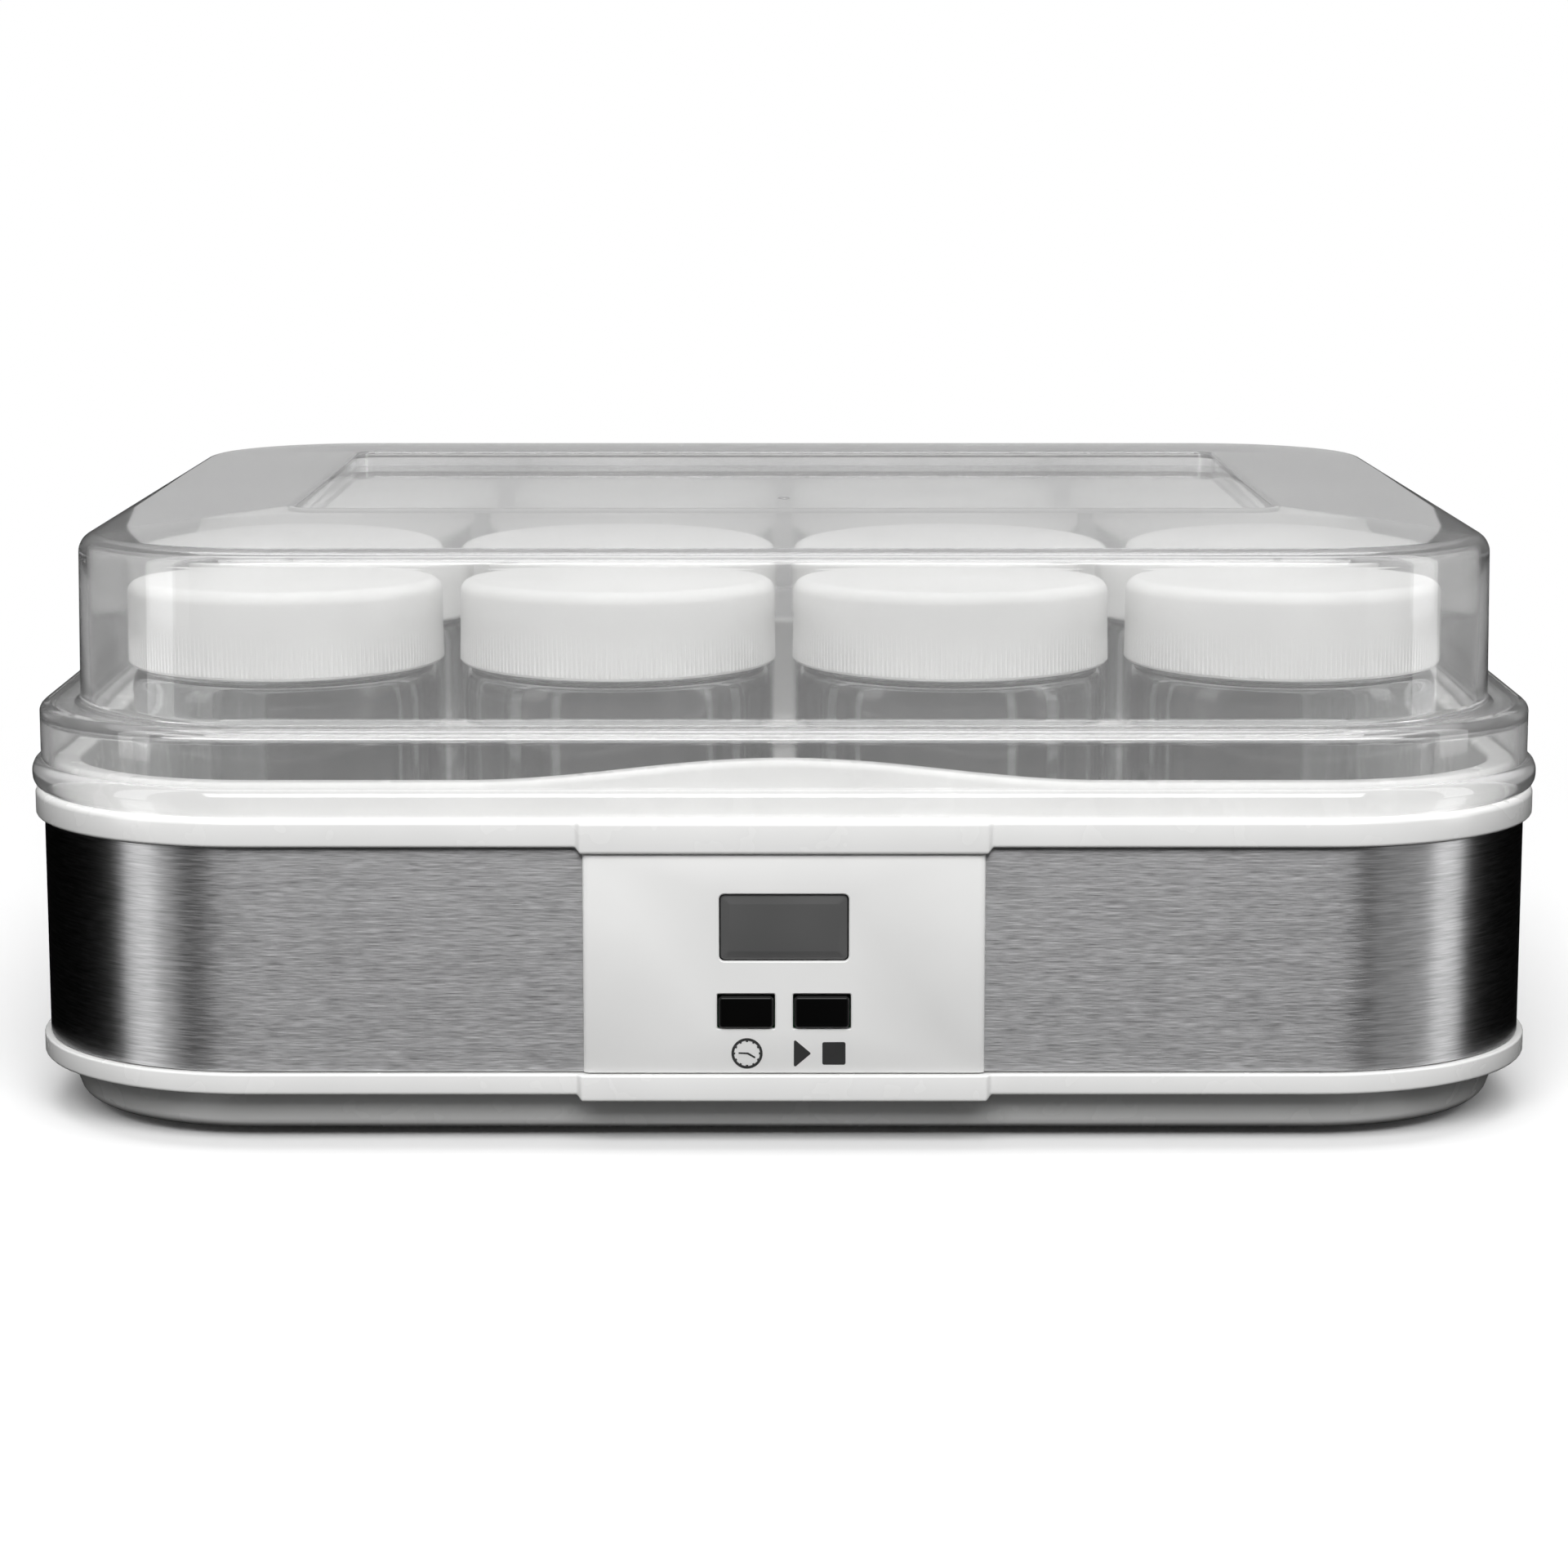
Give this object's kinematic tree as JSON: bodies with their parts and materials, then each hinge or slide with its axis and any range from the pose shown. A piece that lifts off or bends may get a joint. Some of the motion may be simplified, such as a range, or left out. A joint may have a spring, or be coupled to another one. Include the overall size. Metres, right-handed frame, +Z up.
{
  "type": "yogurt maker",
  "caption": "Electric yogurt maker: heated tub of capped glass jars under a clear stepped lid, steel-wrapped body with a front timer panel.",
  "frame": {"origin": "middle of the footprint, on the surface the feet stand on", "axes": "+X to the right seen from the front, -Y to the front with the control panel, +Z up"},
  "size_m": [0.3522, 0.3096, 0.1345],
  "materials": {
    "white_plastic": "moulded, satin gloss",
    "clear_plastic": "clear moulded",
    "jar_glass": "clear pressed glass",
    "cap_plastic": "moulded with fine grip ribs",
    "brushed_steel": "brushed along the band",
    "black_plastic": "polished",
    "window_plastic": "polished, dark grey",
    "dark_plastic": "moulded",
    "circuit_board": "solder mask",
    "grey_cable": "extruded",
    "aluminium": "rolled sheet",
    "silicone_sleeve": "matt",
    "rubber_feet": "matt",
    "screw_steel": "zinc plated"
  },
  "bodies": {
    "root": {"bottom_tray": "white_plastic", "steel_band": "brushed_steel", "inner_tub": "white_plastic", "control_panel": "white_plastic", "display_window": "window_plastic", "cord_inlet": "dark_plastic", "lcd_module": "dark_plastic", "control_board": "circuit_board", "timer_switch": "dark_plastic", "start_stop_switch": "dark_plastic", "ribbon_cable": "grey_cable", "heater_plate": "aluminium", "heater_wire": "silicone_sleeve", "heater_lead": "silicone_sleeve", "temperature_sensor": "dark_plastic", "thermal_cutout": "dark_plastic", "power_board": "circuit_board", "transformer": "dark_plastic", "relay": "dark_plastic", "terminal_block": "dark_plastic", "capacitor": "dark_plastic", "foot_front_left": "rubber_feet", "foot_front_right": "rubber_feet", "foot_back_left": "rubber_feet", "foot_back_right": "rubber_feet", "screw_front_left": "screw_steel", "screw_front_right": "screw_steel", "screw_back_left": "screw_steel", "screw_back_right": "screw_steel"},
    "lid": {"lid": "clear_plastic"},
    "jar_front_1": {"jar_front_1": "jar_glass"},
    "jar_front_2": {"jar_front_2": "jar_glass"},
    "jar_front_3": {"jar_front_3": "jar_glass"},
    "jar_front_4": {"jar_front_4": "jar_glass"},
    "jar_middle_1": {"jar_middle_1": "jar_glass"},
    "jar_middle_2": {"jar_middle_2": "jar_glass"},
    "jar_middle_3": {"jar_middle_3": "jar_glass"},
    "jar_middle_4": {"jar_middle_4": "jar_glass"},
    "jar_back_1": {"jar_back_1": "jar_glass"},
    "jar_back_2": {"jar_back_2": "jar_glass"},
    "jar_back_3": {"jar_back_3": "jar_glass"},
    "jar_back_4": {"jar_back_4": "jar_glass"},
    "cap_front_1": {"cap_front_1": "cap_plastic"},
    "cap_front_2": {"cap_front_2": "cap_plastic"},
    "cap_front_3": {"cap_front_3": "cap_plastic"},
    "cap_front_4": {"cap_front_4": "cap_plastic"},
    "cap_middle_1": {"cap_middle_1": "cap_plastic"},
    "cap_middle_2": {"cap_middle_2": "cap_plastic"},
    "cap_middle_3": {"cap_middle_3": "cap_plastic"},
    "cap_middle_4": {"cap_middle_4": "cap_plastic"},
    "cap_back_1": {"cap_back_1": "cap_plastic"},
    "cap_back_2": {"cap_back_2": "cap_plastic"},
    "cap_back_3": {"cap_back_3": "cap_plastic"},
    "cap_back_4": {"cap_back_4": "cap_plastic"},
    "timer_button": {"timer_button": "black_plastic"},
    "start_stop_button": {"start_stop_button": "black_plastic"}
  },
  "joints": [
    {"name": "lid_lift", "type": "slide", "parent": "root", "child": "lid", "axis": [0, 0, 1], "range_m": [0, 0.16]},
    {"name": "jar_lift_front_1", "type": "slide", "parent": "root", "child": "jar_front_1", "axis": [0, 0, 1], "range_m": [0, 0.064]},
    {"name": "jar_lift_front_2", "type": "slide", "parent": "root", "child": "jar_front_2", "axis": [0, 0, 1], "range_m": [0, 0.064]},
    {"name": "jar_lift_front_3", "type": "slide", "parent": "root", "child": "jar_front_3", "axis": [0, 0, 1], "range_m": [0, 0.064]},
    {"name": "jar_lift_front_4", "type": "slide", "parent": "root", "child": "jar_front_4", "axis": [0, 0, 1], "range_m": [0, 0.064]},
    {"name": "jar_lift_middle_1", "type": "slide", "parent": "root", "child": "jar_middle_1", "axis": [0, 0, 1], "range_m": [0, 0.064]},
    {"name": "jar_lift_middle_2", "type": "slide", "parent": "root", "child": "jar_middle_2", "axis": [0, 0, 1], "range_m": [0, 0.064]},
    {"name": "jar_lift_middle_3", "type": "slide", "parent": "root", "child": "jar_middle_3", "axis": [0, 0, 1], "range_m": [0, 0.064]},
    {"name": "jar_lift_middle_4", "type": "slide", "parent": "root", "child": "jar_middle_4", "axis": [0, 0, 1], "range_m": [0, 0.064]},
    {"name": "jar_lift_back_1", "type": "slide", "parent": "root", "child": "jar_back_1", "axis": [0, 0, 1], "range_m": [0, 0.064]},
    {"name": "jar_lift_back_2", "type": "slide", "parent": "root", "child": "jar_back_2", "axis": [0, 0, 1], "range_m": [0, 0.064]},
    {"name": "jar_lift_back_3", "type": "slide", "parent": "root", "child": "jar_back_3", "axis": [0, 0, 1], "range_m": [0, 0.064]},
    {"name": "jar_lift_back_4", "type": "slide", "parent": "root", "child": "jar_back_4", "axis": [0, 0, 1], "range_m": [0, 0.064]},
    {"name": "cap_turn_front_1", "type": "hinge", "parent": "jar_front_1", "child": "cap_front_1", "pos_m": [-0.117, -0.095, 0.103], "axis": [0, 0, 1], "range_deg": [0, 270]},
    {"name": "cap_turn_front_2", "type": "hinge", "parent": "jar_front_2", "child": "cap_front_2", "pos_m": [-0.039, -0.095, 0.103], "axis": [0, 0, 1], "range_deg": [0, 270]},
    {"name": "cap_turn_front_3", "type": "hinge", "parent": "jar_front_3", "child": "cap_front_3", "pos_m": [0.039, -0.095, 0.103], "axis": [0, 0, 1], "range_deg": [0, 270]},
    {"name": "cap_turn_front_4", "type": "hinge", "parent": "jar_front_4", "child": "cap_front_4", "pos_m": [0.117, -0.095, 0.103], "axis": [0, 0, 1], "range_deg": [0, 270]},
    {"name": "cap_turn_middle_1", "type": "hinge", "parent": "jar_middle_1", "child": "cap_middle_1", "pos_m": [-0.117, 0, 0.103], "axis": [0, 0, 1], "range_deg": [0, 270]},
    {"name": "cap_turn_middle_2", "type": "hinge", "parent": "jar_middle_2", "child": "cap_middle_2", "pos_m": [-0.039, 0, 0.103], "axis": [0, 0, 1], "range_deg": [0, 270]},
    {"name": "cap_turn_middle_3", "type": "hinge", "parent": "jar_middle_3", "child": "cap_middle_3", "pos_m": [0.039, 0, 0.103], "axis": [0, 0, 1], "range_deg": [0, 270]},
    {"name": "cap_turn_middle_4", "type": "hinge", "parent": "jar_middle_4", "child": "cap_middle_4", "pos_m": [0.117, 0, 0.103], "axis": [0, 0, 1], "range_deg": [0, 270]},
    {"name": "cap_turn_back_1", "type": "hinge", "parent": "jar_back_1", "child": "cap_back_1", "pos_m": [-0.117, 0.095, 0.103], "axis": [0, 0, 1], "range_deg": [0, 270]},
    {"name": "cap_turn_back_2", "type": "hinge", "parent": "jar_back_2", "child": "cap_back_2", "pos_m": [-0.039, 0.095, 0.103], "axis": [0, 0, 1], "range_deg": [0, 270]},
    {"name": "cap_turn_back_3", "type": "hinge", "parent": "jar_back_3", "child": "cap_back_3", "pos_m": [0.039, 0.095, 0.103], "axis": [0, 0, 1], "range_deg": [0, 270]},
    {"name": "cap_turn_back_4", "type": "hinge", "parent": "jar_back_4", "child": "cap_back_4", "pos_m": [0.117, 0.095, 0.103], "axis": [0, 0, 1], "range_deg": [0, 270]},
    {"name": "timer_press", "type": "slide", "parent": "root", "child": "timer_button", "axis": [0, 1, 0], "range_m": [0, 0.0008], "stiffness_N_per_m": 500},
    {"name": "start_stop_press", "type": "slide", "parent": "root", "child": "start_stop_button", "axis": [0, 1, 0], "range_m": [0, 0.0008], "stiffness_N_per_m": 500}
  ],
  "couplings": [
    {"joint": "jar_lift_front_1", "follows": "lid_lift", "ratio": 0.4},
    {"joint": "jar_lift_front_2", "follows": "lid_lift", "ratio": 0.4},
    {"joint": "jar_lift_front_3", "follows": "lid_lift", "ratio": 0.4},
    {"joint": "jar_lift_front_4", "follows": "lid_lift", "ratio": 0.4},
    {"joint": "jar_lift_middle_1", "follows": "lid_lift", "ratio": 0.4},
    {"joint": "jar_lift_middle_2", "follows": "lid_lift", "ratio": 0.4},
    {"joint": "jar_lift_middle_3", "follows": "lid_lift", "ratio": 0.4},
    {"joint": "jar_lift_middle_4", "follows": "lid_lift", "ratio": 0.4},
    {"joint": "jar_lift_back_1", "follows": "lid_lift", "ratio": 0.4},
    {"joint": "jar_lift_back_2", "follows": "lid_lift", "ratio": 0.4},
    {"joint": "jar_lift_back_3", "follows": "lid_lift", "ratio": 0.4},
    {"joint": "jar_lift_back_4", "follows": "lid_lift", "ratio": 0.4}
  ]
}
